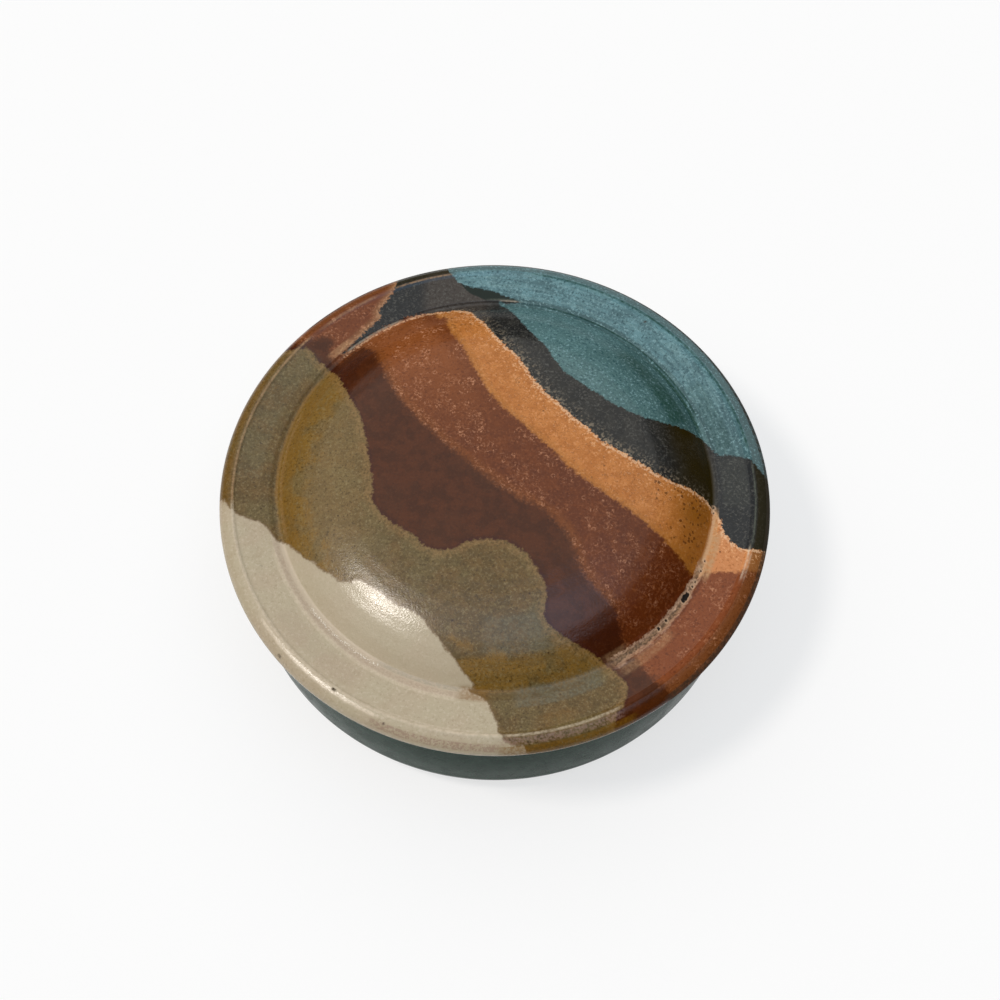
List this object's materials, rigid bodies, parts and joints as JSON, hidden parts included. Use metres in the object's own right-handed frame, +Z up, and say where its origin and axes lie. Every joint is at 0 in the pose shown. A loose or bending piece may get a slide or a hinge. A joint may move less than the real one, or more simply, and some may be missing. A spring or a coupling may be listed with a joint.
{
  "type": "lidded dish",
  "caption": "Round low stoneware dish with a wide-brimmed, low-domed lid that lifts off; a ring under the lid locates it in the mouth.",
  "frame": {"origin": "middle of the foot ring's underside, on the axis that the dish was thrown about", "axes": "+Z up along the axis; -Y is the side that the picture is taken from; +X is its right"},
  "size_m": [0.2, 0.2, 0.0756],
  "materials": {
    "dish_glaze": "glossy dark green-teal glaze, bare clay on the foot and the rim",
    "lid_glaze": "satin to glossy glazes in sweeping bands: cream, olive, aubergine, rust, orange, black and teal"
  },
  "bodies": {
    "dish": {"dish": "dish_glaze"},
    "lid": {"lid": "lid_glaze"}
  },
  "joints": [
    {"name": "lid_lift", "type": "slide", "parent": "dish", "child": "lid", "axis": [0, 0, 1], "range_m": [0, 0.08]}
  ]
}
